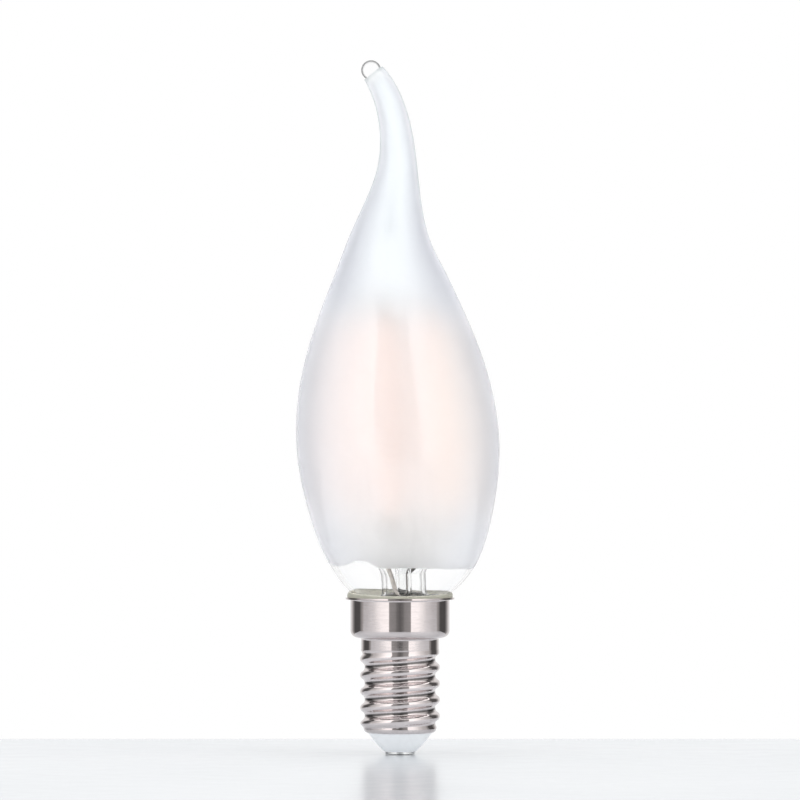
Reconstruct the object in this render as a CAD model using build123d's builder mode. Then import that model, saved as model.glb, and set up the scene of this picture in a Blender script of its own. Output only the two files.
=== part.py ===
from build123d import *
import os
from math import asin, cos, radians, sin, sqrt

# Frosted candle bulb with a drawn, bent tip on a small screw cap, in millimetres.
# The origin is the lowest point of the centre contact, on the cap's axis, with +Z up
# through the glass. The tip bends towards -X.

os.makedirs("parts", exist_ok=True)

# Cap shell, rolled from thin sheet
cap_sheet = 0.30
thread_crest_radius = 6.92
thread_depth = 0.80
thread_pitch = 2.822
thread_height = 13.7
thread_set_down = 0.25  # the first full crest on +X lies a pitch and this much below the thread's top
rolling_step = 0.05  # the rolled wall stands this far proud of the plain sheet, inside and out
band_height = 2.0
band_bend = 0.35
band_set_in = 0.17  # the plain band is this much smaller than the thread crest
skirt_radius = 8.6
skirt_height = 6.7
skirt_bend = 1.3
lip_radius = 9.45
lip_bend = 0.3
foot_set_in = 0.62  # the shell's foot is this much smaller than the thread crest
foot_curl = 0.75
foot_ledge = 0.55  # flat ring that the curl holds the insulator by

# Insulator and centre contact
contact_radius = 2.6
contact_thickness = 0.5
contact_dome = 0.12
shank_radius = 0.9
shank_clearance = 0.03
shank_recess = 0.6
insulator_height = 3.25
insulator_margin = 0.1
insulator_bulge = 0.1
plug_height = 2.45
plug_clearance = 0.2

# Seat of the glass: it stands a little off the cap's axis and leans, as cemented bulbs do
glass_wall = 0.8
cement_gap = 0.85  # from the skirt's wall to the neck, before the neck is shifted
cement_depth = 1.95
cement_bead_radius = 9.15  # the cement swells out over the lip, under the glass
cement_bead_height = 1.0  # on the cap's axis
cement_bead_round = 0.6
cement_bead_tilt = 4.0  # the bead stands higher at the back than at the front
cement_root = 0.05  # the filling below reaches this far up into the bead
seat_shift = 0.75
glass_lean = 2.4
neck_depth = 2.2
neck_round = 0.25

# Outline of the glass: radius, and distance up its centre line from the lip's top
throat_radius, throat_height = 9.75, 1.75
hip_radius, hip_height = 13.1, 6.5
flank_radius, flank_height = 15.6, 13.4
belly_radius, belly_height = 17.6, 27.0
breast_radius, breast_height = 16.3, 38.0
shoulder_radius, shoulder_height = 12.4, 49.8
waist_radius, waist_height = 6.5, 63.7
tail_radius, tail_back = 3.65, 18.3  # measured back from the tail's end
tail_bend_radius, tail_bend_back = 2.5, 6.3
tail_end_radius = 1.95
bead_radius = 1.73
bead_rise = 0.65
tip_thickness = 1.6

# Centre line of the tail: it swings out, then hooks back to the tip
tail_start = 57.5
tail_swing, swing_height = 2.0, 75.0
tip_reach, tip_height = -1.55, 91.0
tip_angle = 36.0

# Stem: flare fused into the neck, pinch and column
stem_radius = 3.85
stem_wall = 0.7
flare_height = 0.6
flare_round = 1.0
flare_bend = 0.7
rim_depth = 1.0
pinch_base = 4.2
pinch_shoulder = 8.6
pinch_top = 9.8
pinch_half_width = 5.5
pinch_half_depth = 2.3
pinch_round = 0.5
roof_height = 7.0
roof_half_width = 4.0
roof_half_depth = 0.9
column_radius = 1.4
column_head_radius = 1.9
exhaust_radius = 1.37
exhaust_bore = 0.85
exhaust_top = 7.8
exhaust_foot = -3.4
exhaust_hole = 0.6
exhaust_chamber = 1.4  # bore above the tube's end, which the side hole opens into

# Filaments, leaning in towards the top
filament_count = 4
filament_turn = -12.0  # the first one stands this many degrees from +X
filament_length = 34.0
filament_width = 1.7
filament_depth = 1.2
filament_round = 0.45
filament_foot = 14.5
filament_foot_radius = 8.5
filament_head_radius = 6.1
tab_length = 1.8
tab_width = 1.0
tab_thickness = 0.3

# Wires
lead_radius = 0.38
branch_radius = 0.25
bridge_radius = 0.22
feed_radius = 0.25
wire_bend = 0.5
tab_run = 0.9  # straight run of a wire in line with the tab it is welded to
lead_spread = 2.6
lead_rise = 0.9
lead_drop = 1.0  # straight run of a lead below the flare's roof
lead_crossing = 4.8  # the neutral lead passes behind the exhaust tube at this height
lead_turn_height = 1.3
lead_pad_offset = 1.6
lead_approach = 1.4
live_turns = (232, 257, 275)  # degrees round the exhaust tube at each bend on the way down
neutral_turns = (62, 66, 130)
weld_gap = 0.1
branch_rise = 0.5
bridge_offset = 0.6

# Driver in the cap
board_thickness = 1.0
board_height = 13.0
board_clearance = 0.6
notch_width = 3.0
notch_height = 2.4
pad_length = 2.0
resistor_radius = 0.9
resistor_length = 3.6
resistor_offset = 1.6
resistor_gap = 0.2  # between the notch and the resistor
resistor_run = 1.0
rectifier_width, rectifier_depth, rectifier_height = 4.0, 2.2, 3.2
rectifier_gap = 0.5
regulator_width, regulator_depth, regulator_height = 4.4, 1.5, 2.2
regulator_gap = 0.4
package_chamfer = 0.3
capacitor_radius = 2.2
capacitor_length = 6.5
capacitor_gap = 0.6
feed_offset = 0.8  # from the board's edge to the neutral feed wire
feed_rise = 2.5
feed_level = 0.8  # the neutral feed wire turns out this far above the thread
feed_run = 1.0
feed_crossing = 1.0  # the live feed wire reaches the cap's axis this far above the insulator
feed_fall = 0.7

# Levels up the cap's axis that follow from the sizes above
foot_level = contact_thickness + insulator_height
thread_bottom = foot_level + foot_curl
thread_top = thread_bottom + thread_height
skirt_level = thread_top + band_height
lip_level = skirt_level + skirt_height
lip_top = lip_level + cap_sheet
insulator_top = foot_level + cap_sheet + plug_height
shank_top = insulator_top - shank_recess
board_top = insulator_top + board_height
cement_bottom = lip_top - cement_depth
cement_top = lip_top + cement_bead_height

# Radii that follow from the sizes above
thread_wall = cap_sheet + 2 * rolling_step
thread_bore_radius = thread_crest_radius - thread_depth - thread_wall
band_radius = thread_crest_radius - band_set_in
foot_radius = thread_crest_radius - foot_set_in
cone_radius = foot_radius - foot_curl
foot_hole_radius = cone_radius - foot_ledge
plug_radius = thread_bore_radius - plug_clearance
skirt_bore_radius = skirt_radius - cap_sheet
neck_radius = skirt_bore_radius - cement_gap
neck_bore_radius = neck_radius - glass_wall

# Frames of the leaning glass, seen from above and from the front
lean = radians(glass_lean)
glass_axis = Vector(-sin(lean), 0, cos(lean))
glass_frame = Plane(origin=(seat_shift, 0, lip_top), x_dir=(cos(lean), 0, sin(lean)), z_dir=glass_axis)
glass_front = Plane(origin=glass_frame.origin, x_dir=glass_frame.x_dir, z_dir=(0, -1, 0))
glass_spine = Axis(glass_frame.origin, glass_axis)


def save(piece, name):
    """Label one finished piece and write it."""
    piece.label = name
    export_step(piece, f"parts/{name}.step")


def in_glass(x, y, height):
    """A point given in the leaning glass's own frame."""
    return glass_frame.from_local_coords(Vector(x, y, height))


def ease(share):
    """Smooth step from 0 to 1."""
    share = min(max(share, 0.0), 1.0)
    return share * share * (3 - 2 * share)


def bent_wire(route, radius):
    """A round wire along straight runs joined by tangent bends."""
    with BuildPart() as wire:
        with BuildLine() as path:
            FilletPolyline(*route, radius=wire_bend)
        with BuildSketch(Plane(origin=path.wire() @ 0, z_dir=path.wire() % 0)):
            Circle(radius)
        sweep(path=path.wire())
    return wire.part


# Rolled thread: crest and root are equal arcs that meet in line, one of each to a pitch
thread_arc = (thread_pitch**2 / 16 + thread_depth**2 / 4) / thread_depth
run_in = thread_pitch / 3
run_out = thread_pitch / 2
thread_rows = 64
thread_step = 15


def thread_wave(turn, level):
    """Radius of the full thread at a share of a turn from +X."""
    pitches = (level - thread_top + thread_set_down) / thread_pitch - turn
    from_crest = abs(pitches - round(pitches)) * thread_pitch
    if from_crest < thread_pitch / 4:
        return thread_crest_radius - thread_arc + sqrt(thread_arc**2 - from_crest**2)
    from_root = thread_pitch / 2 - from_crest
    return thread_crest_radius - thread_depth + thread_arc - sqrt(thread_arc**2 - from_root**2)


def thread_radius(turn, level):
    """Radius of the rolled wall, which runs out into the plain sheet at both ends."""
    rise = ease((level - thread_bottom) / thread_height)
    plain = foot_radius + (band_radius - foot_radius) * rise + rolling_step
    share = ease((level - thread_bottom) / run_in) * ease((thread_top - level) / run_out)
    return plain + share * (thread_wave(turn, level) - plain)


def sheet_curve(turn, inset):
    """Lengthwise curve of the rolled wall, set in from its outer face."""
    shares = [row / thread_rows for row in range(thread_rows + 1)]
    levels = [thread_bottom + thread_height * share for share in shares]
    points = [(thread_radius(turn, level) - inset, level) for level in levels]
    return Edge.make_spline(points, parameters=shares)


# Cap shell: rolled thread, then band, skirt and lip above it and the curled foot below
with BuildPart() as cap_shell:
    for first_angle in (0, 180):
        for angle in range(first_angle, first_angle + 180 + thread_step, thread_step):
            outward = Vector(cos(radians(angle)), sin(radians(angle)), 0)
            with BuildSketch(Plane(origin=(0, 0, 0), x_dir=outward, z_dir=outward.cross(Vector(0, 0, 1)))):
                with BuildLine():
                    outside = sheet_curve(angle / 360, 0.0)
                    inside = sheet_curve(angle / 360, thread_wall)
                    add([outside, inside])
                    Line(outside @ 0, inside @ 0)
                    Line(outside @ 1, inside @ 1)
                make_face()
        loft()
    with BuildSketch(Plane.XZ):
        with BuildLine():
            FilletPolyline(
                (band_radius, thread_top),
                (band_radius, skirt_level),
                (skirt_radius, skirt_level),
                (skirt_radius, lip_level),
                (lip_radius, lip_level),
                radius=[band_bend, skirt_bend, lip_bend],
            )
            offset(amount=cap_sheet, side=Side.LEFT)
        make_face()
    revolve(axis=Axis.Z)
    with BuildSketch(Plane.XZ):
        with BuildLine():
            ledge = Line((foot_hole_radius, foot_level), (cone_radius, foot_level))
            TangentArc(ledge @ 1, (foot_radius, thread_bottom), tangent=ledge % 1)
            offset(amount=cap_sheet, side=Side.LEFT)
        make_face()
    revolve(axis=Axis.Z)
save(cap_shell.part, "cap_shell")

# Insulator: a cone below the shell, a groove that clasps the curled foot, a plug inside
insulator_foot_radius = contact_radius + insulator_margin
shank_hole_radius = shank_radius + shank_clearance
cone_slope = Vector(cone_radius - insulator_foot_radius, insulator_height)
cone_middle = Vector(insulator_foot_radius, contact_thickness) + cone_slope / 2
cone_outward = Vector(cone_slope.Y, -cone_slope.X).normalized()
with BuildPart() as insulator:
    with BuildSketch(Plane.XZ):
        with BuildLine():
            ThreePointArc(
                (insulator_foot_radius, contact_thickness),
                cone_middle + cone_outward * insulator_bulge,
                (cone_radius, foot_level),
            )
            Polyline(
                (cone_radius, foot_level),
                (foot_hole_radius, foot_level),
                (foot_hole_radius, foot_level + cap_sheet),
                (plug_radius, foot_level + cap_sheet),
                (plug_radius, insulator_top),
                (shank_hole_radius, insulator_top),
                (shank_hole_radius, contact_thickness),
                (insulator_foot_radius, contact_thickness),
            )
        make_face()
    revolve(axis=Axis.Z)
save(insulator.part, "insulator")

# Centre contact: a domed head under the insulator and a shank up through it
with BuildPart() as centre_contact:
    with BuildSketch(Plane.XZ):
        with BuildLine():
            TangentArc((0, 0), (contact_radius, contact_dome), tangent=(1, 0))
            Polyline(
                (contact_radius, contact_dome),
                (contact_radius, contact_thickness),
                (shank_radius, contact_thickness),
                (shank_radius, shank_top),
                (0, shank_top),
                (0, 0),
            )
        make_face()
    revolve(axis=Axis.Z)
save(centre_contact.part, "centre_contact")

# Envelope: round sections along the bent centre line, hollowed, closed by a solid bead
tip_direction = Vector(-sin(lean + radians(tip_angle)), 0, cos(lean + radians(tip_angle)))
outline_stations = 28
station_crowding = 1.4  # above 1 the stations lie closer together at the neck
with BuildLine(glass_front) as centre_line:
    Line((0, 0), (0, tail_start))
    Spline(
        (0, tail_start),
        (tail_swing, swing_height),
        (tip_reach, tip_height),
        tangents=[glass_axis, tip_direction],
    )
centre_wire = centre_line.wire()
with BuildLine() as outline:
    Spline(
        (neck_radius, 0),
        (throat_radius, throat_height),
        (hip_radius, hip_height),
        (flank_radius, flank_height),
        (belly_radius, belly_height),
        (breast_radius, breast_height),
        (shoulder_radius, shoulder_height),
        (waist_radius, waist_height),
        (tail_radius, centre_wire.length - tail_back),
        (tail_bend_radius, centre_wire.length - tail_bend_back),
        (tail_end_radius, centre_wire.length),
    )
outline_wire = outline.wire()


def station(share):
    """Radius and cross plane of the envelope, level above the hip, at a share of its outline."""
    radius, along, _ = outline_wire @ share
    reach = along / centre_wire.length
    levelling = (Vector(0, 0, 1) - glass_axis) * ease(along / hip_height)
    return radius, Plane(origin=centre_wire @ reach, x_dir=(0, 1, 0), z_dir=centre_wire % reach + levelling)


shares = [(row / outline_stations) ** station_crowding for row in range(outline_stations + 1)]
cavity_share = 1 - tip_thickness / outline_wire.length
with BuildPart() as glass_outside:
    for share in shares:
        radius, cross_plane = station(share)
        with BuildSketch(cross_plane):
            Circle(radius)
    loft()
    with BuildSketch(glass_frame):
        Circle(neck_radius)
    extrude(amount=-neck_depth)
with BuildPart() as glass_envelope:
    add(glass_outside.part)
    with Locations(centre_wire @ 1 + tip_direction * bead_rise):
        Sphere(bead_radius)
    for share in shares:
        radius, cross_plane = station(share * cavity_share)
        with BuildSketch(cross_plane):
            Circle(radius - glass_wall)
    loft(mode=Mode.SUBTRACT)
    with BuildSketch(glass_frame):
        Circle(neck_bore_radius)
    extrude(amount=-neck_depth, mode=Mode.SUBTRACT)
    fillet(glass_envelope.edges().group_by(glass_spine)[0], neck_round)
save(glass_envelope.part, "glass_envelope")

# Basing cement: fills the skirt round the neck and swells out between the lip and the glass
with BuildPart() as cement_bead:
    with Locations(Location((0, 0, cement_top), (cement_bead_tilt, 0, 0))):
        Cylinder(
            cement_bead_radius,
            2 * cement_bead_height,
            align=(Align.CENTER, Align.CENTER, Align.MAX),
        )
    fillet(cement_bead.edges().sort_by(Axis.Z)[-1], cement_bead_round)
    split(bisect_by=Plane.XY.offset(lip_top))
lip_bend_start = (skirt_bore_radius, lip_level - lip_bend)
lip_bend_end = (skirt_radius + lip_bend, lip_top)
root_radius = (skirt_radius + lip_bend + cement_bead_radius) / 2
root_top = lip_top + cement_root
with BuildPart() as basing_cement:
    with BuildSketch(Plane.XZ):
        with BuildLine():
            Polyline((0, root_top), (0, cement_bottom), (skirt_bore_radius, cement_bottom), lip_bend_start)
            TangentArc(lip_bend_start, lip_bend_end, tangent=(0, 1))
            Polyline(lip_bend_end, (root_radius, lip_top), (root_radius, root_top), (0, root_top))
        make_face()
    revolve(axis=Axis.Z)
    add(cement_bead.part)
    add(glass_outside.part, mode=Mode.SUBTRACT)
    with BuildSketch(glass_frame):
        Circle(neck_radius)
    extrude(amount=-2 * neck_depth, mode=Mode.SUBTRACT)
save(basing_cement.part, "basing_cement")

# Exhaust tube: fused into the pinch above, melted shut below
with BuildPart() as exhaust_tube:
    with BuildSketch(glass_front):
        with BuildLine():
            Line((0, exhaust_foot - exhaust_radius), (0, exhaust_foot - exhaust_bore))
            RadiusArc((0, exhaust_foot - exhaust_bore), (exhaust_bore, exhaust_foot), -exhaust_bore)
            Polyline(
                (exhaust_bore, exhaust_foot),
                (exhaust_bore, exhaust_top),
                (exhaust_radius, exhaust_top),
                (exhaust_radius, exhaust_foot),
            )
            RadiusArc((exhaust_radius, exhaust_foot), (0, exhaust_foot - exhaust_radius), exhaust_radius)
        make_face()
    revolve(axis=glass_spine)
save(exhaust_tube.part, "exhaust_tube")

# Filaments: each has its own frame, with its length along Z and its flat side outwards
filament_lean = asin((filament_foot_radius - filament_head_radius) / filament_length)
filament_frames = []
for number in range(filament_count):
    angle = radians(filament_turn + 360 / filament_count * number)
    inward = glass_frame.x_dir * -cos(angle) + glass_frame.y_dir * -sin(angle)
    foot_point = in_glass(0, 0, filament_foot) - inward * filament_foot_radius
    along = glass_axis * cos(filament_lean) + inward * sin(filament_lean)
    filament_frames.append(Plane(origin=foot_point, x_dir=along.cross(inward), z_dir=along))

for number, frame in enumerate(filament_frames, start=1):
    with BuildPart() as led_filament:
        with BuildSketch(frame):
            RectangleRounded(filament_width, filament_depth, filament_round)
        extrude(amount=filament_length)
    save(led_filament.part, f"led_filament_{number}")
    with BuildPart() as filament_tabs:
        with BuildSketch(frame, frame.offset(filament_length + tab_length)):
            Rectangle(tab_width, tab_thickness)
        extrude(amount=-tab_length)
    save(filament_tabs.part, f"filament_tabs_{number}")


def tab_end(number, beyond):
    """A point in line with a filament's lower tab, that far below the tab's end."""
    return filament_frames[number - 1].from_local_coords(Vector(0, 0, -tab_length - beyond))


def tab_head(number, beyond):
    """A point in line with a filament's upper tab, that far above the tab's end."""
    rise = filament_length + tab_length + beyond
    return filament_frames[number - 1].from_local_coords(Vector(0, 0, rise))


# Lead wires: from a filament's foot through the pinch and the flare to the driver's board
pad_reach = board_thickness / 2 + lead_radius
lead_top = pinch_top + lead_rise
flare_gap_middle = (exhaust_radius + stem_radius - stem_wall) / 2


def in_flare(turn, height):
    """A point midway between the exhaust tube and the flare's wall."""
    angle = radians(turn)
    return in_glass(flare_gap_middle * cos(angle), flare_gap_middle * sin(angle), height)


lead_wire_live = bent_wire(
    [
        tab_end(3, 0),
        tab_end(3, tab_run),
        in_glass(-lead_spread, 0, lead_top),
        in_glass(-lead_spread, 0, roof_height - lead_drop),
        in_flare(live_turns[0], lead_turn_height),
        in_flare(live_turns[1], -rim_depth),
        in_flare(live_turns[2], exhaust_foot - lead_drop),
        Vector(lead_pad_offset, -pad_reach, board_top + lead_approach),
        Vector(lead_pad_offset, -pad_reach, board_top - pad_length),
    ],
    lead_radius,
)
lead_wire_neutral = bent_wire(
    [
        tab_end(1, 0),
        tab_end(1, tab_run),
        in_glass(lead_spread, 0, lead_top),
        in_glass(lead_spread, 0, roof_height - lead_drop),
        in_flare(neutral_turns[0], lead_crossing),
        in_flare(neutral_turns[1], lead_turn_height),
        in_flare(neutral_turns[2], exhaust_foot - lead_drop),
        Vector(-lead_pad_offset, pad_reach, board_top + lead_approach),
        Vector(-lead_pad_offset, pad_reach, board_top - pad_length),
    ],
    lead_radius,
)
save(lead_wire_live, "lead_wire_live")
save(lead_wire_neutral, "lead_wire_neutral")

# Branch wires: from each lead, above the pinch, to the foot of a second filament
for name, number, side in (("live", 2, -1), ("neutral", 4, 1)):
    weld_point = in_glass(side * lead_spread, -side * (lead_radius + weld_gap), pinch_top + branch_rise)
    branch_wire = bent_wire([tab_end(number, 0), tab_end(number, tab_run), weld_point], branch_radius)
    save(branch_wire, f"branch_wire_{name}")

# Bridge wires: join the heads of the filaments in pairs, through the column's head
column_head = filament_foot + filament_length * cos(filament_lean) + tab_length
bridge_wires = []
for number in range(1, filament_count // 2 + 1):
    middle = radians(filament_turn + 360 / filament_count * (4 * number - 3) / 2)
    bridge_wire = bent_wire(
        [
            tab_head(2 * number - 1, 0),
            tab_head(2 * number - 1, tab_run),
            in_glass(bridge_offset * cos(middle), bridge_offset * sin(middle), column_head),
            tab_head(2 * number, tab_run),
            tab_head(2 * number, 0),
        ],
        bridge_radius,
    )
    bridge_wires.append(bridge_wire)
    save(bridge_wire, f"top_bridge_wire_{number}")

# Stem: flare with its rim in the neck, tube flattened into the pinch, column with its head
with BuildPart() as glass_stem:
    with BuildSketch(glass_front):
        with BuildLine():
            FilletPolyline(
                (neck_bore_radius, -rim_depth),
                (neck_bore_radius, flare_height),
                (stem_radius, flare_height),
                (stem_radius, pinch_base),
                radius=[flare_round, flare_bend],
            )
            offset(amount=stem_wall, side=Side.LEFT)
        make_face()
    revolve(axis=glass_spine)
    with BuildSketch(glass_frame.offset(pinch_base)):
        Circle(stem_radius)
    with BuildSketch(glass_frame.offset(pinch_shoulder)):
        Ellipse(pinch_half_width, pinch_half_depth)
    loft()
    with BuildSketch(glass_frame.offset(pinch_shoulder)):
        Ellipse(pinch_half_width, pinch_half_depth)
    extrude(amount=pinch_top - pinch_shoulder)
    fillet(glass_stem.edges().sort_by(glass_spine)[-1], pinch_round)
    with BuildSketch(glass_frame.offset(pinch_top)):
        Circle(column_radius)
    extrude(amount=column_head - pinch_top)
    with Locations(in_glass(0, 0, column_head)):
        Sphere(column_head_radius)
    with BuildSketch(glass_frame.offset(pinch_base)):
        Circle(stem_radius - stem_wall)
    with BuildSketch(glass_frame.offset(roof_height)):
        Ellipse(roof_half_width, roof_half_depth)
    loft(mode=Mode.SUBTRACT)
    with BuildSketch(glass_frame.offset(pinch_base)):
        Circle(exhaust_radius)
    extrude(amount=exhaust_top - pinch_base, mode=Mode.SUBTRACT)
    with BuildSketch(glass_frame.offset(exhaust_top)):
        Circle(exhaust_bore)
    extrude(amount=exhaust_chamber, mode=Mode.SUBTRACT)
    with BuildSketch(Plane(origin=in_glass(0, 0, exhaust_top + exhaust_chamber / 2), z_dir=(0, 1, 0))):
        Circle(exhaust_hole)
    extrude(amount=pinch_half_depth, mode=Mode.SUBTRACT)
    add([lead_wire_live, lead_wire_neutral, *bridge_wires], mode=Mode.SUBTRACT)
save(glass_stem.part, "glass_stem")

# Driver board: stands on the insulator's plug, notched over the centre contact
board_width = 2 * (thread_bore_radius - board_clearance)
board_front = Plane.XZ.offset(board_thickness / 2)
with BuildPart() as driver_board:
    with BuildSketch(board_front):
        with Locations((0, insulator_top + board_height / 2)):
            Rectangle(board_width, board_height)
        with Locations((0, insulator_top + notch_height / 2)):
            Rectangle(notch_width, notch_height, mode=Mode.SUBTRACT)
    extrude(amount=-board_thickness)
save(driver_board.part, "driver_board")

# Parts on the board's front, one above the other, and the capacitor on its back
resistor_level = insulator_top + notch_height + resistor_gap + resistor_radius
rectifier_foot = resistor_level + resistor_radius + rectifier_gap
regulator_foot = rectifier_foot + rectifier_height + regulator_gap
packages = (
    ("bridge_rectifier", rectifier_width, rectifier_height, rectifier_depth, rectifier_foot),
    ("current_regulator", regulator_width, regulator_height, regulator_depth, regulator_foot),
)
for name, width, height, depth, foot in packages:
    with BuildPart() as package:
        with BuildSketch(board_front):
            with Locations((0, foot + height / 2)):
                Rectangle(width, height)
        extrude(amount=depth)
        chamfer(package.faces().sort_by(Axis.Y)[0].edges(), package_chamfer)
    save(package.part, name)

capacitor_foot = insulator_top + notch_height + capacitor_gap
with BuildPart() as smoothing_capacitor:
    with BuildSketch(Plane.XY.offset(capacitor_foot)):
        with Locations((0, board_thickness / 2 + capacitor_radius)):
            Circle(capacitor_radius)
    extrude(amount=capacitor_length)
    chamfer(smoothing_capacitor.edges(), package_chamfer)
save(smoothing_capacitor.part, "smoothing_capacitor")

resistor_reach = -board_thickness / 2 - resistor_radius
resistor_end = resistor_length / 2 - resistor_offset
with BuildPart() as fuse_resistor:
    with BuildSketch(Plane.YZ.offset(resistor_end)):
        with Locations((resistor_reach, resistor_level)):
            Circle(resistor_radius)
    extrude(amount=-resistor_length)
    fillet(fuse_resistor.edges(), package_chamfer)
save(fuse_resistor.part, "fuse_resistor")

# Feed wires: resistor to centre contact, and board to the inside of the shell's plain band
feed_turn = resistor_end + resistor_run
live_feed_wire = bent_wire(
    [
        Vector(resistor_end, resistor_reach, resistor_level),
        Vector(feed_turn, resistor_reach, resistor_level),
        Vector(feed_turn, resistor_reach, insulator_top + feed_crossing + feed_fall),
        Vector(0, 0, insulator_top + feed_crossing),
        Vector(0, 0, shank_top),
    ],
    feed_radius,
)
save(live_feed_wire, "live_feed_wire")

feed_depth = board_thickness / 2 + feed_radius
feed_start = board_width / 2 - feed_offset
feed_wall = sqrt((band_radius - cap_sheet - feed_radius) ** 2 - feed_depth**2)
feed_height = thread_top + feed_level
neutral_feed_wire = bent_wire(
    [
        Vector(feed_start, feed_depth, feed_height - feed_rise),
        Vector(feed_start, feed_depth, feed_height),
        Vector(feed_wall, feed_depth, feed_height),
        Vector(feed_wall, feed_depth, feed_height + feed_run),
    ],
    feed_radius,
)
save(neutral_feed_wire, "neutral_feed_wire")
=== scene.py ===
import logging
import math
from dataclasses import dataclass
from enum import Enum
from typing import ClassVar

import bmesh
import bpy
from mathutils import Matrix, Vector

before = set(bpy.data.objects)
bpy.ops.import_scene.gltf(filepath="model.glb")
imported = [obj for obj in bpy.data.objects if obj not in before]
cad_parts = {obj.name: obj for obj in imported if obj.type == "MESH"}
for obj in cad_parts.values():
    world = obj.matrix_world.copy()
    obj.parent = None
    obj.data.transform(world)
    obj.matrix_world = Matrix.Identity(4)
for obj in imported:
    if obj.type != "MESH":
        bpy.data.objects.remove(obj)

LOG = logging.getLogger("candle_bulb")
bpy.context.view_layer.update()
MM = 0.001
HALF_TURN = 180.0
MIX_COLOURS = (6, 7)  # a Mix node's colour inputs
MIX_RESULT = 2  # its colour output
NOISE_MIDDLE = 0.5
FILAMENT_NUMBERS = range(1, 5)

Colour = tuple[float, float, float]
Range = tuple[float, float]
Node = bpy.types.Node
Socket = bpy.types.NodeSocket
Value = float | Socket

WHITE: Colour = (1.0, 1.0, 1.0)
BLACK: Colour = (0.0, 0.0, 0.0)


class GrainGroup(Enum):
    """Shared surface effects, each one node group."""

    CLOUD = "cloud_and_speck"
    TURNED = "turned_marks"


class Side(Enum):
    """Which side of the camera a lamp stands on."""

    LEFT = -1
    RIGHT = 1


class Graph:
    """Builds one node tree."""

    def __init__(self, tree: bpy.types.NodeTree) -> None:
        """Keep the tree that the nodes go into.

        Args:
            tree: Node tree of a material, a world or a group.
        """
        self.tree = tree

    def add(self, kind: str, **settings: object) -> Node:
        """Add a node.

        Args:
            kind: Type name of the node.
            settings: Node properties by name.

        Returns:
            The new node.
        """
        node = self.tree.nodes.new(kind)
        for name, value in settings.items():
            setattr(node, name, value)
        return node

    def plug(self, value: object, target: Socket) -> None:
        """Link a socket to another, or set a plain value on it.

        Args:
            value: Socket to link from, or a plain value.
            target: Input socket that takes it.
        """
        if isinstance(value, Socket):
            self.tree.links.new(value, target)
        else:
            target.default_value = value

    def math(self, operation: str, *values: Value) -> Socket:
        """Add a Math node.

        Args:
            operation: Name of the operation.
            values: Its inputs, in order.

        Returns:
            The result's socket.
        """
        node = self.add("ShaderNodeMath", operation=operation)
        for value, target in zip(values, node.inputs):
            self.plug(value, target)
        return node.outputs[0]

    def rest(self, share: Socket) -> Socket:
        """What a share leaves of 1."""
        return self.math("SUBTRACT", 1.0, share)

    def product(self, *shares: Value) -> Socket:
        """Multiply shares.

        Args:
            shares: Two or more sockets or numbers.

        Returns:
            The product's socket.
        """
        result = shares[0]
        for share in shares[1:]:
            result = self.math("MULTIPLY", result, share)
        return result

    def step(self, value: Value, low: float, high: float) -> Socket:
        """Add a smooth step from 0 to 1.

        Args:
            value: What is measured.
            low: Where the step starts.
            high: Where the step ends.

        Returns:
            The step's socket.
        """
        node = self.add("ShaderNodeMapRange", interpolation_type="SMOOTHSTEP")
        self.plug(value, node.inputs["Value"])
        node.inputs["From Min"].default_value = low
        node.inputs["From Max"].default_value = high
        return node.outputs["Result"]

    def span(self, value: Value, low: float, high: float) -> Socket:
        """Spread a 0 to 1 value over another range.

        Args:
            value: Value from 0 to 1.
            low: Result at 0.
            high: Result at 1.

        Returns:
            The spread value's socket.
        """
        node = self.add("ShaderNodeMapRange")
        self.plug(value, node.inputs["Value"])
        node.inputs["To Min"].default_value = low
        node.inputs["To Max"].default_value = high
        return node.outputs["Result"]

    def blend(self, share: Value, first: object, second: object) -> Socket:
        """Mix two colours.

        Args:
            share: Share of the second colour.
            first: Colour or socket at share 0.
            second: Colour or socket at share 1.

        Returns:
            The mixed colour's socket.
        """
        node = self.add("ShaderNodeMix", data_type="RGBA")
        self.plug(share, node.inputs[0])
        for colour, target in zip((first, second), MIX_COLOURS):
            value = colour if isinstance(colour, Socket) else (*colour, 1.0)
            self.plug(value, node.inputs[target])
        return node.outputs[MIX_RESULT]

    def noise(self, place: Socket, scale: Value, detail: float) -> Socket:
        """Add a noise texture.

        Args:
            place: Coordinates it is read at.
            scale: Repeats per metre.
            detail: Octaves.

        Returns:
            The noise value's socket.
        """
        node = self.add("ShaderNodeTexNoise")
        self.plug(place, node.inputs["Vector"])
        self.plug(scale, node.inputs["Scale"])
        node.inputs["Detail"].default_value = detail
        return node.outputs["Fac"]

    def rim(self, low: float, high: float) -> Socket:
        """How far the surface turns away from the eye.

        Args:
            low: Turn at which the rim starts, where 0 faces the eye.
            high: Turn at which the rim is full.

        Returns:
            A mask that is 1 on the rim.
        """
        facing = self.add("ShaderNodeLayerWeight").outputs["Facing"]
        return self.step(facing, low, high)

    def apart(self, place: Socket) -> tuple[Socket, ...]:
        """Split coordinates into x, y and z.

        Args:
            place: Coordinates.

        Returns:
            The three sockets.
        """
        node = self.add("ShaderNodeSeparateXYZ")
        self.plug(place, node.inputs[0])
        return tuple(node.outputs)

    def radius(self, x: Socket, y: Socket) -> Socket:
        """Distance from the Z axis.

        Args:
            x: Place across.
            y: Place from front to back.

        Returns:
            The distance's socket.
        """
        square = self.math("MULTIPLY_ADD", x, x, self.math("MULTIPLY", y, y))
        return self.math("SQRT", square)

    def together(self, x: Value, y: Value, z: Value) -> Socket:
        """Join x, y and z into coordinates.

        Args:
            x: First part.
            y: Second part.
            z: Third part.

        Returns:
            The coordinates' socket.
        """
        node = self.add("ShaderNodeCombineXYZ")
        for value, target in zip((x, y, z), node.inputs):
            self.plug(value, target)
        return node.outputs[0]


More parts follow.
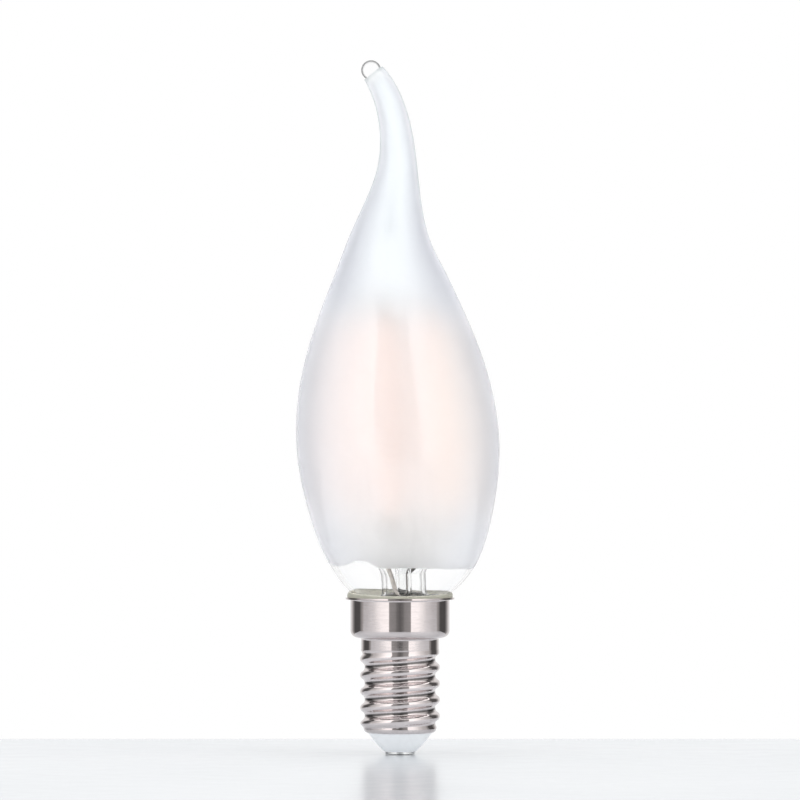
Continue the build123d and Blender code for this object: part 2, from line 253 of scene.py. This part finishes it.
class GrainLibrary:
    """Makes each shared node group once."""

    CLOUD_OCTAVES: ClassVar[float] = 3.0
    SPECK_OCTAVES: ClassVar[float] = 2.0
    SPECK_FINENESS: ClassVar[float] = 9.0
    SPECK_SHARE: ClassVar[float] = 0.35
    CLOUD_RANGE: ClassVar[Range] = (0.3, 0.7)
    MARK_OCTAVES: ClassVar[float] = 4.0
    MARK_STRETCH: ClassVar[float] = 0.06
    MARK_SHARE: ClassVar[float] = 0.6
    MARK_RANGE: ClassVar[Range] = (0.32, 0.68)
    PATCH_OCTAVES: ClassVar[float] = 2.0
    PATCH_FINENESS: ClassVar[float] = 0.05
    made: ClassVar[dict[GrainGroup, bpy.types.NodeTree]] = {}

    @classmethod
    def tree(cls, kind: GrainGroup) -> bpy.types.NodeTree:
        """Give the node group of one effect.

        Args:
            kind: Which effect.

        Returns:
            Its node group.
        """
        if kind not in cls.made:
            group = bpy.data.node_groups.new(kind.value, "ShaderNodeTree")
            for name, socket in (("Place", "NodeSocketVector"), ("Scale", "NodeSocketFloat")):
                group.interface.new_socket(name=name, in_out="INPUT", socket_type=socket)
            for name in ("Tone", "Height"):
                group.interface.new_socket(
                    name=name, in_out="OUTPUT", socket_type="NodeSocketFloat")
            build = {GrainGroup.CLOUD: cls.cloud, GrainGroup.TURNED: cls.turned}[kind]
            build(Graph(group))
            cls.made[kind] = group
        return cls.made[kind]

    @classmethod
    def cloud(cls, graph: Graph) -> None:
        """Soft clouds for tone and fine specks for height.

        Args:
            graph: The group that is filled.
        """
        inlet = graph.add("NodeGroupInput")
        outlet = graph.add("NodeGroupOutput")
        place, scale = inlet.outputs["Place"], inlet.outputs["Scale"]
        clouds = graph.noise(place, scale, cls.CLOUD_OCTAVES)
        speck_scale = graph.math("MULTIPLY", scale, cls.SPECK_FINENESS)
        specks = graph.noise(place, speck_scale, cls.SPECK_OCTAVES)
        cloudy = graph.math("MULTIPLY", clouds, 1.0 - cls.SPECK_SHARE)
        tone = graph.math("MULTIPLY_ADD", specks, cls.SPECK_SHARE, cloudy)
        graph.plug(graph.step(tone, *cls.CLOUD_RANGE), outlet.inputs["Tone"])
        graph.plug(specks, outlet.inputs["Height"])

    @classmethod
    def turned(cls, graph: Graph) -> None:
        """Fine marks that run round the Z axis, as turning, rolling and drawing leave.

        Args:
            graph: The group that is filled.
        """
        inlet = graph.add("NodeGroupInput")
        outlet = graph.add("NodeGroupOutput")
        place, scale = inlet.outputs["Place"], inlet.outputs["Scale"]
        x, y, z = graph.apart(place)
        lengthways = graph.together(
            graph.math("MULTIPLY", x, cls.MARK_STRETCH),
            graph.math("MULTIPLY", y, cls.MARK_STRETCH),
            graph.math("ADD", z, graph.radius(x, y)),
        )
        marks = graph.noise(lengthways, scale, cls.MARK_OCTAVES)
        patch_scale = graph.math("MULTIPLY", scale, cls.PATCH_FINENESS)
        patches = graph.noise(place, patch_scale, cls.PATCH_OCTAVES)
        patchy = graph.math("MULTIPLY", patches, 1.0 - cls.MARK_SHARE)
        tone = graph.math("MULTIPLY_ADD", marks, cls.MARK_SHARE, patchy)
        graph.plug(graph.step(tone, *cls.MARK_RANGE), outlet.inputs["Tone"])
        graph.plug(marks, outlet.inputs["Height"])


@dataclass(frozen=True)
class Surface:
    """The nodes that every finish is built on."""

    graph: Graph
    shader: Node
    outlet: Node
    place: Socket
    tone: Socket
    height: Socket


@dataclass(frozen=True)
class Finish:
    """What every finish has: a name, two tones, a roughness range and a grain."""

    name: str
    light: Colour
    dark: Colour
    smooth: float
    rough: float
    grain: GrainGroup = GrainGroup.CLOUD
    grain_scale: float = 900.0
    relief: float = 0.0

    def material(self) -> bpy.types.Material:
        """Make the finish's material.

        Returns:
            A new node material.
        """
        material = bpy.data.materials.new(self.name)
        material.use_nodes = True
        material.node_tree.nodes.clear()
        graph = Graph(material.node_tree)
        shader = graph.add("ShaderNodeBsdfPrincipled")
        outlet = graph.add("ShaderNodeOutputMaterial")
        graph.plug(shader.outputs[0], outlet.inputs["Surface"])
        place = graph.add("ShaderNodeTexCoord").outputs["Object"]
        grain = graph.add("ShaderNodeGroup", node_tree=GrainLibrary.tree(self.grain))
        graph.plug(place, grain.inputs["Place"])
        grain.inputs["Scale"].default_value = self.grain_scale
        tone, height = grain.outputs["Tone"], grain.outputs["Height"]
        self.dress(Surface(graph, shader, outlet, place, tone, height))
        return material

    def colour(self, surface: Surface) -> Socket:
        """Mix the two tones by the grain."""
        return surface.graph.blend(surface.tone, self.dark, self.light)

    def roughness(self, surface: Surface) -> Socket:
        """Spread the grain over the roughness range."""
        return surface.graph.span(surface.tone, self.smooth, self.rough)

    def dress(self, surface: Surface) -> None:
        """Set the shader's sockets.

        Args:
            surface: The material's nodes.
        """
        inputs = surface.shader.inputs
        surface.graph.plug(self.colour(surface), inputs["Base Color"])
        surface.graph.plug(self.roughness(surface), inputs["Roughness"])
        if self.relief:
            self.emboss(surface)

    def emboss(self, surface: Surface) -> None:
        """Give the surface its relief.

        Args:
            surface: The material's nodes.
        """
        bump = surface.graph.add("ShaderNodeBump")
        bump.inputs["Strength"].default_value = 1.0
        bump.inputs["Distance"].default_value = self.relief
        surface.graph.plug(surface.height, bump.inputs["Height"])
        surface.graph.plug(bump.outputs[0], surface.shader.inputs["Normal"])


@dataclass(frozen=True)
class MetalFinish(Finish):
    """Bare or plated metal."""

    def dress(self, surface: Surface) -> None:
        """Set the shader's sockets, with full metal."""
        super().dress(surface)
        surface.shader.inputs["Metallic"].default_value = 1.0


@dataclass(frozen=True)
class ThreadFinish(MetalFinish):
    """Plated shell whose thread has a painted highlight on its crests and painted shade in its
    roots.
    """

    # Painted highlight for the thread's crests and painted shade for its roots.
    crest_highlight: Colour = (0.715, 0.651, 0.642)
    root: Colour = (0.16, 0.147, 0.144)
    root_radius: Range = (6.12 * MM, 6.175 * MM)
    thread_foot: Range = (4.8 * MM, 5.4 * MM)
    thread_head: Range = (17.2 * MM, 18.2 * MM)

    def colour(self, surface: Surface) -> Socket:
        """Plating, with a painted highlight on the crests and painted shade in the roots along the
        thread.

        Args:
            surface: The material's nodes.

        Returns:
            The colour's socket.
        """
        graph = surface.graph
        x, y, z = graph.apart(surface.place)
        # Painted shade in the thread's roots, painted highlight on its crests.
        raised = graph.step(graph.radius(x, y), *self.root_radius)
        crest_highlight_and_root_shade = graph.blend(raised, self.root, self.crest_highlight)
        above = graph.step(z, *self.thread_head)
        thread = graph.product(graph.step(z, *self.thread_foot), graph.rest(above))
        return graph.blend(thread, super().colour(surface), crest_highlight_and_root_shade)


@dataclass(frozen=True)
class CementFinish(Finish):
    """Cement that is darker on its outer face."""

    # Darker colour on the cement's outer face, from 8.6 to 9.0 mm out from the axis.
    outer_face_colour: Colour = (0.42, 0.41, 0.335)
    outer_face_radius: Range = (8.6 * MM, 9.0 * MM)

    def colour(self, surface: Surface) -> Socket:
        """Cement, with its darker outer face.

        Args:
            surface: The material's nodes.

        Returns:
            The colour's socket.
        """
        graph = surface.graph
        x, y, _ = graph.apart(surface.place)
        outer = graph.step(graph.radius(x, y), *self.outer_face_radius)
        return graph.blend(outer, super().colour(surface), self.outer_face_colour)


@dataclass(frozen=True)
class BoardFinish(Finish):
    """Pale board whose colour gives way to its gloss at a grazing look."""

    grazing: Colour = (0.60, 0.62, 0.645)
    grazing_turn: Range = (0.86, 0.93)

    def colour(self, surface: Surface) -> Socket:
        """Pale tones, darker where the camera looks along the board.

        Args:
            surface: The material's nodes.

        Returns:
            The colour's socket.
        """
        graph = surface.graph
        looked_at = graph.add("ShaderNodeLightPath").outputs["Is Camera Ray"]
        share = graph.product(graph.rim(*self.grazing_turn), looked_at)
        return graph.blend(share, super().colour(surface), self.grazing)


@dataclass(frozen=True)
class GlassFinish(Finish):
    """Clear glass with a faint tint that deepens where it is thick, and painted shade on its edges.
    """

    ior: float = 1.3
    tint: Colour = (0.88, 0.90, 0.88)
    depth: float = 8.0
    # Painted shade for the glass's edges.
    rim_shade: Colour = (0.10, 0.10, 0.10)
    edge_from: float = 0.40
    edge_to: float = 0.82

    def colour(self, surface: Surface) -> Socket:
        """Clear body with painted shade on its edges.

        Args:
            surface: The material's nodes.

        Returns:
            The colour's socket.
        """
        # Painted shade where the surface turns away from the eye.
        rim = surface.graph.rim(self.edge_from, self.edge_to)
        return surface.graph.blend(rim, super().colour(surface), self.rim_shade)

    def dress(self, surface: Surface) -> None:
        """Set the shader's sockets, with light passing through."""
        super().dress(surface)
        self.let_through(surface)

    def let_through(self, surface: Surface) -> None:
        """Let light through, tinted by the glass's depth.

        Args:
            surface: The material's nodes.
        """
        surface.shader.inputs["Transmission Weight"].default_value = 1.0
        surface.shader.inputs["IOR"].default_value = self.ior
        soak = surface.graph.add("ShaderNodeVolumeAbsorption")
        soak.inputs["Color"].default_value = (*self.tint, 1.0)
        soak.inputs["Density"].default_value = self.depth
        surface.graph.plug(soak.outputs[0], surface.outlet.inputs["Volume"])


@dataclass(frozen=True)
class FrostFinish(GlassFinish):
    """Glass frosted on its body, clear below a wavy line at the neck and on the tip's bead."""

    ior: float = 1.25
    tint: Colour = (0.80, 0.88, 1.0)
    depth: float = 4.0
    frost_cool: Colour = (0.972, 0.989, 1.0)
    frost_warm: Colour = (0.994, 0.963, 0.957)
    frost_amber: Colour = (0.994, 0.957, 0.935)
    frost_grey: Colour = WHITE
    frost_speck: float = 0.015
    # Painted shade on the frost's rims, where the surface turns away from the eye.
    belly_rim_shade: Colour = (0.850, 0.857, 0.877)
    belly_edge_from: float = 0.03
    belly_edge_to: float = 0.80
    cone_rim_shade: Colour = (0.862, 0.869, 0.893)
    cone_edge_from: float = 0.05
    cone_edge_to: float = 0.42
    neck_edge: float = 0.6
    tail_rim_shade: Colour = (0.70, 0.73, 0.74)
    tail_edge_from: float = 0.45
    tail_edge_to: float = 0.80
    # Painted shadow ring just below the bead's foot.
    collar_shadow: Colour = (0.70, 0.74, 0.74)
    collar_width: float = 0.8 * MM
    warm_above: Range = (37.0 * MM, 48.0 * MM)
    warm_below: Range = (71.0 * MM, 81.0 * MM)
    amber_right: Range = (2.0 * MM, 9.0 * MM)
    tail_above: Range = (86.0 * MM, 102.0 * MM)
    frost_rough: float = 0.93
    line_height: float = 32.7 * MM
    line_wave: float = 1.0 * MM
    line_wave_scale: float = 95.0
    line_wave_octaves: float = 2.0
    line_soft: float = 0.35 * MM
    line_tilt: float = 0.03
    arch_rise: float = 0.9 * MM
    arch_left: Range = (-10.1 * MM, -6.9 * MM)
    arch_right: Range = (-6.4 * MM, -3.2 * MM)
    arch_front: Range = (-4.0 * MM, 0.0)
    bead_foot: Range = (-4.63 * MM, 118.1 * MM)
    bead_turn: float = 41.0
    bead_soft: float = 0.12 * MM
    # Painted shade on the bead's rim, where it turns away from the eye.
    bead_rim_shade: Colour = (0.10, 0.10, 0.10)
    bead_edge_from: float = 0.27
    bead_edge_to: float = 0.58
    coat: float = 0.88
    coat_ior: float = 1.8
    coat_rough: float = 0.005
    coat_fade: Range = (0.45, 0.75)

    def arch(self, graph: Graph, x: Socket, y: Socket) -> Socket:
        """Where the frost's lower edge arches up, at the front left.

        Args:
            graph: The material's nodes.
            x: Place across.
            y: Place from front to back.

        Returns:
            A mask that is 1 at the top of the arch.
        """
        left = graph.step(x, *self.arch_left)
        right = graph.rest(graph.step(x, *self.arch_right))
        front = graph.rest(graph.step(y, *self.arch_front))
        return graph.product(left, right, front)

    def zones(self, surface: Surface) -> tuple[Socket, ...]:
        """Where the glass is frosted, where the bead is and where the collar below it is, which
        gets a painted shadow ring.

        Args:
            surface: The material's nodes.

        Returns:
            Masks that are 1 on the frost, on the bead and at the top of the collar, where the
            painted shadow is full.
        """
        graph = surface.graph
        x, y, z = graph.apart(surface.place)
        flat = graph.together(x, y, 0.0)
        wave = graph.noise(flat, self.line_wave_scale, self.line_wave_octaves)
        tilted = graph.math("MULTIPLY_ADD", x, self.line_tilt, z)
        swing = graph.math("SUBTRACT", wave, NOISE_MIDDLE)
        waved = graph.math("MULTIPLY_ADD", swing, -self.line_wave, tilted)
        height = graph.math("MULTIPLY_ADD", self.arch(graph, x, y), -self.arch_rise, waved)
        low = self.line_height - self.line_soft / 2
        body = graph.step(height, low, low + self.line_soft)
        turn = math.radians(self.bead_turn)
        foot = self.bead_foot[1] * math.cos(turn) - self.bead_foot[0] * math.sin(turn)
        upward = graph.math("MULTIPLY", z, math.cos(turn))
        rise = graph.math("MULTIPLY_ADD", x, -math.sin(turn), upward)
        bead = graph.step(rise, foot - self.bead_soft, foot + self.bead_soft)
        # Painted shadow ring in a band just below the bead's foot.
        collar_shadow = graph.step(rise, foot - self.collar_width, foot)
        return graph.product(body, graph.rest(bead)), bead, collar_shadow

    def frosted(self, surface: Surface) -> Socket:
        """Colour of the frost: cool tail, warm round the filaments, grey neck, painted shade on the
        sides.

        Args:
            surface: The material's nodes.

        Returns:
            The colour's socket.
        """
        graph = surface.graph
        across, _, height = graph.apart(surface.place)
        belly = graph.step(height, *self.warm_above)
        right = graph.step(across, *self.amber_right)
        warm = graph.blend(right, self.frost_warm, self.frost_amber)
        low = graph.blend(belly, self.frost_grey, warm)
        cone = graph.step(height, *self.warm_below)
        tail = graph.step(height, *self.tail_above)
        shaded = graph.blend(cone, low, self.frost_cool)
        middle = graph.math("SUBTRACT", belly, cone)
        ends = graph.math("MULTIPLY_ADD", graph.rest(belly), self.neck_edge, cone)
        rim_shades = (
            (self.belly_rim_shade, self.belly_edge_from, self.belly_edge_to, middle),
            (self.cone_rim_shade, self.cone_edge_from, self.cone_edge_to, ends),
            (self.tail_rim_shade, self.tail_edge_from, self.tail_edge_to, tail),
        )
        # Painted shade on the rims of the belly, of the cone and neck, and of the tail.
        for colour, low_turn, high_turn, share in rim_shades:
            rim_shade = graph.product(graph.rim(low_turn, high_turn), share)
            shaded = graph.blend(rim_shade, shaded, colour)
        speck = graph.product(surface.tone, self.frost_speck)
        return graph.blend(speck, shaded, BLACK)

    def dress(self, surface: Surface) -> None:
        """Set the shader's sockets, frosted where the mask says.

        Args:
            surface: The material's nodes.
        """
        graph, inputs = surface.graph, surface.shader.inputs
        frost, bead, collar_shadow = self.zones(surface)
        # Painted shade on the rim of the clear bead.
        bead_ring_shade = graph.product(bead, graph.rim(self.bead_edge_from, self.bead_edge_to))
        clear = graph.blend(bead_ring_shade, self.light, self.bead_rim_shade)
        frosted = graph.blend(collar_shadow, self.frosted(surface), self.collar_shadow)
        graph.plug(graph.blend(frost, clear, frosted), inputs["Base Color"])
        plain = graph.math("MULTIPLY_ADD", frost, self.frost_rough - self.smooth, self.smooth)
        rough = graph.math("MULTIPLY_ADD", surface.tone, self.rough, plain)
        graph.plug(rough, inputs["Roughness"])
        self.let_through(surface)
        self.gloss(surface, frost)

    def gloss(self, surface: Surface, frost: Socket) -> None:
        """Give the outside of the frosted body its gloss.

        Args:
            surface: The material's nodes.
            frost: Mask that is 1 on the frost.
        """
        graph, inputs = surface.graph, surface.shader.inputs
        inside = graph.add("ShaderNodeNewGeometry").outputs["Backfacing"]
        height = graph.apart(surface.place)[2]
        coat = graph.product(
            frost,
            graph.rest(inside),
            graph.rest(graph.rim(*self.coat_fade)),
            graph.rest(graph.step(height, *self.tail_above)),
            self.coat,
        )
        graph.plug(coat, inputs["Coat Weight"])
        inputs["Coat IOR"].default_value = self.coat_ior
        inputs["Coat Roughness"].default_value = self.coat_rough


class Finishes:
    """Every finish on the bulb."""

    frost = FrostFinish("frosted_glass", WHITE, (0.99, 0.995, 0.99), 0.01, 0.03,
                        grain_scale=300.0)
    clear = GlassFinish("clear_glass", WHITE, (0.98, 0.985, 0.98), 0.01, 0.03,
                        grain_scale=200.0)
    nickel = ThreadFinish("nickel_plate", (0.67, 0.61, 0.602), (0.60, 0.545, 0.537), 0.025, 0.06,
                          GrainGroup.TURNED, 9000.0, 0.002 * MM)
    contact = MetalFinish("contact_metal", (0.84, 0.84, 0.83), (0.68, 0.68, 0.67), 0.16, 0.28,
                          GrainGroup.TURNED, 6000.0, 0.004 * MM)
    insulator = Finish("insulator_white", (0.96, 0.968, 0.975), (0.94, 0.95, 0.96), 0.36, 0.44,
                       grain_scale=700.0, relief=0.006 * MM)
    cement = CementFinish("cement", (0.90, 0.88, 0.75), (0.66, 0.65, 0.52), 0.22, 0.45,
                          grain_scale=450.0, relief=0.08 * MM)
    phosphor = Finish("phosphor", (0.98, 0.81, 0.73), (0.95, 0.75, 0.66), 0.5, 0.62,
                      grain_scale=800.0, relief=0.04 * MM)
    lead = MetalFinish("lead_metal", (0.50, 0.46, 0.42), (0.36, 0.33, 0.31), 0.28, 0.42,
                       grain_scale=1500.0, relief=0.003 * MM)
    tinned = MetalFinish("tinned_wire", (0.72, 0.72, 0.71), (0.56, 0.56, 0.55), 0.25, 0.4,
                         grain_scale=1500.0, relief=0.003 * MM)
    board = Finish("board_laminate", (0.08, 0.27, 0.12), (0.05, 0.19, 0.08), 0.3, 0.45,
                   grain_scale=1200.0, relief=0.01 * MM)
    moulded = Finish("moulded_black", (0.035, 0.035, 0.037), (0.02, 0.02, 0.021), 0.4, 0.55,
                     grain_scale=2500.0, relief=0.01 * MM)
    sleeve = Finish("capacitor_sleeve", (0.05, 0.05, 0.06), (0.03, 0.03, 0.036), 0.22, 0.32,
                    GrainGroup.TURNED, 1500.0, 0.006 * MM)
    lacquer = Finish("resistor_coat", (0.60, 0.49, 0.33), (0.50, 0.40, 0.26), 0.25, 0.35,
                     grain_scale=1500.0, relief=0.012 * MM)


class Paint:
    """Keeps one material for each finish."""

    made: ClassVar[dict[str, bpy.types.Material]] = {}

    @classmethod
    def of(cls, finish: Finish) -> bpy.types.Material:
        """Give the material of a finish.

        Args:
            finish: The finish.

        Returns:
            Its material, made on first use.
        """
        if finish.name not in cls.made:
            cls.made[finish.name] = finish.material()
        return cls.made[finish.name]


@dataclass
class SubAssembly:
    """A group of the bulb's pieces, each with its finish."""

    finishes: ClassVar[dict[str, Finish]] = {}

    def dress(self) -> None:
        """Give each piece its finish."""
        for name, finish in self.finishes.items():
            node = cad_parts[name]
            node.data.materials.clear()
            node.data.materials.append(Paint.of(finish))
            LOG.info("%s: %s", name, finish.name)


@dataclass
class Envelope(SubAssembly):
    """The blown glass with its drawn tail and bead."""

    finishes: ClassVar[dict[str, Finish]] = {"glass_envelope": Finishes.frost}


@dataclass
class Mount(SubAssembly):
    """The stem, the exhaust tube and the wires fused through them."""

    finishes: ClassVar[dict[str, Finish]] = {
        "glass_stem": Finishes.clear,
        "exhaust_tube": Finishes.clear,
        "lead_wire_live": Finishes.lead,
        "lead_wire_neutral": Finishes.lead,
        "branch_wire_live": Finishes.lead,
        "branch_wire_neutral": Finishes.lead,
        "top_bridge_wire_1": Finishes.lead,
        "top_bridge_wire_2": Finishes.lead,
    }


@dataclass
class Filaments(SubAssembly):
    """The phosphor strips and their metal tabs."""

    finishes: ClassVar[dict[str, Finish]] = {
        **{f"led_filament_{number}": Finishes.phosphor for number in FILAMENT_NUMBERS},
        **{f"filament_tabs_{number}": Finishes.lead for number in FILAMENT_NUMBERS},
    }


@dataclass
class ScrewCap(SubAssembly):
    """The rolled shell, its insulator and contact, and the cement round the neck."""

    finishes: ClassVar[dict[str, Finish]] = {
        "cap_shell": Finishes.nickel,
        "centre_contact": Finishes.contact,
        "insulator": Finishes.insulator,
        "basing_cement": Finishes.cement,
    }


@dataclass
class Driver(SubAssembly):
    """The board in the shell, its parts and its feed wires."""

    finishes: ClassVar[dict[str, Finish]] = {
        "driver_board": Finishes.board,
        "bridge_rectifier": Finishes.moulded,
        "current_regulator": Finishes.moulded,
        "smoothing_capacitor": Finishes.sleeve,
        "fuse_resistor": Finishes.lacquer,
        "live_feed_wire": Finishes.tinned,
        "neutral_feed_wire": Finishes.tinned,
    }


@dataclass
class Studio:
    """Floor, soft boxes, surroundings and camera."""

    camera_away: float = 1.1
    camera_height: float = 61.4 * MM
    pixels_per_mm: float = 5.77
    picture_side: float = 800.0
    sensor: float = 36.0
    view_reach: float = 10.0
    floor_back: float = 0.05
    floor_front: float = -0.35
    floor_half_width: float = 0.8
    floor_colour: Colour = (0.75, 0.78, 0.81)
    floor_shade: Colour = (0.74, 0.77, 0.80)
    floor_smooth: float = 0.19
    floor_rough: float = 0.23
    floor_grain: float = 20.0
    box_away: float = 0.9
    box_turn: float = 65.0
    box_half_angle: float = 39.0
    box_height: float = 1.8
    box_radiance: float = 0.85
    top_away: float = 0.9
    top_forward: float = 0.1
    top_side: float = 0.9
    top_radiance: float = 0.9
    fill: Colour = (0.80, 0.81, 0.82)
    mirrored: tuple[Range, ...] = (
        (0.0, 0.16), (7.0, 0.23), (11.0, 0.34), (25.0, 0.42), (26.0, 1.56),
        (42.0, 1.50), (55.0, 1.25), (64.0, 0.99), (73.0, 0.85), (81.0, 0.70),
        (93.0, 0.62), (101.0, 0.38), (108.0, 0.11), (130.0, 0.10), (144.0, 0.50),
        (152.0, 0.87), (170.0, 0.87), (174.0, 1.06), (180.0, 1.06),
    )
    top_edge: Range = (43.8, 44.4)
    top_glow: float = 1.45
    ceiling_edge: Range = (54.0, 56.0)
    ceiling_glow: float = 0.05

    def build(self) -> None:
        """Set the whole studio up."""
        self.floor()
        for side in Side:
            self.soft_box(side)
        self.overhead()
        self.surroundings()
        self.camera()
        bpy.context.scene.view_settings.view_transform = "Standard"

    def floor(self) -> None:
        """A pale, faintly glossy board under the bulb."""
        mesh = bpy.data.meshes.new("floor")
        form = bmesh.new()
        bmesh.ops.create_grid(form, x_segments=1, y_segments=1, size=0.5)
        depth = self.floor_back - self.floor_front
        bmesh.ops.scale(form, vec=(2 * self.floor_half_width, depth, 1.0), verts=form.verts)
        middle = Vector((0.0, (self.floor_back + self.floor_front) / 2, 0.0))
        bmesh.ops.translate(form, vec=middle, verts=form.verts)
        form.to_mesh(mesh)
        form.free()
        board = bpy.data.objects.new("floor", mesh)
        bpy.context.scene.collection.objects.link(board)
        finish = BoardFinish("pale_board", self.floor_colour, self.floor_shade,
                             self.floor_smooth, self.floor_rough, grain_scale=self.floor_grain)
        board.data.materials.append(Paint.of(finish))

    def lamp(self, name: str, place: Vector, width: float, height: float,
             radiance: float) -> None:
        """Hang one soft box that faces the bulb.

        Args:
            name: Name of the lamp.
            place: Where its middle is.
            width: Its width.
            height: Its height.
            radiance: Brightness of its face, where 1 is white.
        """
        data = bpy.data.lights.new(name, "AREA")
        data.shape = "RECTANGLE"
        data.size = width
        data.size_y = height
        data.energy = radiance * math.pi * width * height
        lamp = bpy.data.objects.new(name, data)
        lamp.location = place
        aim = Vector((0.0, 0.0, self.camera_height)) - place
        lamp.rotation_euler = aim.to_track_quat("-Z", "Y").to_euler()
        lamp.visible_camera = False
        lamp.visible_glossy = False
        bpy.context.scene.collection.objects.link(lamp)

    def soft_box(self, side: Side) -> None:
        """A tall soft box beside the camera.

        Args:
            side: Which side it stands on.
        """
        turn = math.radians(self.box_turn)
        place = Vector((side.value * math.sin(turn), -math.cos(turn), 0.0)) * self.box_away
        place.z = self.camera_height
        width = 2 * self.box_away * math.tan(math.radians(self.box_half_angle))
        self.lamp(f"soft_box_{side.name.lower()}", place, width, self.box_height, self.box_radiance)

    def overhead(self) -> None:
        """A soft box above the bulb."""
        place = Vector((0.0, -self.top_forward, self.top_away))
        self.lamp("soft_box_top", place, self.top_side, self.top_side, self.top_radiance)

    def surroundings(self) -> None:
        """White behind the bulb, an even fill, and the boxes and flags that it mirrors."""
        world = bpy.data.worlds.new("studio")
        world.use_nodes = True
        world.node_tree.nodes.clear()
        graph = Graph(world.node_tree)
        x, y, z = graph.apart(graph.add("ShaderNodeTexCoord").outputs["Generated"])
        turn = graph.math("ABSOLUTE", graph.math("ARCTAN2", x, graph.math("MULTIPLY", y, -1.0)))
        ramp = graph.add("ShaderNodeValToRGB")
        graph.plug(graph.math("DIVIDE", turn, math.pi), ramp.inputs[0])
        stops = ramp.color_ramp.elements
        given = len(stops)
        for number, (degrees, level) in enumerate(self.mirrored):
            position = degrees / HALF_TURN
            stop = stops[number] if number < given else stops.new(position)
            stop.position = position
            stop.color = (level, level, level, 1.0)
        mirrored = ramp.outputs[0]
        overhead = ((self.top_edge, self.top_glow), (self.ceiling_edge, self.ceiling_glow))
        for rim_shades, level in overhead:
            low, high = (math.sin(math.radians(rim_shade)) for rim_shade in rim_shades)
            mirrored = graph.blend(graph.step(z, low, high), mirrored, (level,) * 3)
        path = graph.add("ShaderNodeLightPath")
        lit = graph.blend(path.outputs["Is Glossy Ray"], self.fill, mirrored)
        looked, through = path.outputs["Is Camera Ray"], path.outputs["Is Transmission Ray"]
        seen = graph.blend(graph.math("MAXIMUM", looked, through), lit, WHITE)
        glow = graph.add("ShaderNodeBackground")
        graph.plug(seen, glow.inputs["Color"])
        outlet = graph.add("ShaderNodeOutputWorld")
        graph.plug(glow.outputs[0], outlet.inputs["Surface"])
        bpy.context.scene.world = world

    def camera(self) -> None:
        """The camera, level and square to the bulb, as in the photograph."""
        data = bpy.data.cameras.new("camera")
        data.sensor_width = self.sensor
        data.lens = self.pixels_per_mm / MM * self.camera_away * self.sensor / self.picture_side
        data.clip_end = self.view_reach
        camera = bpy.data.objects.new("camera", data)
        camera.location = (0.0, -self.camera_away, self.camera_height)
        camera.rotation_euler = (math.pi / 2, 0.0, 0.0)
        bpy.context.scene.collection.objects.link(camera)
        bpy.context.scene.camera = camera


def main() -> None:
    """Dress the bulb, group by group, and set up the studio."""
    logging.basicConfig(level=logging.INFO, format="%(message)s")
    for part in (Envelope(), Mount(), Filaments(), ScrewCap(), Driver()):
        part.dress()
    Studio().build()


if __name__ == "__main__":
    main()
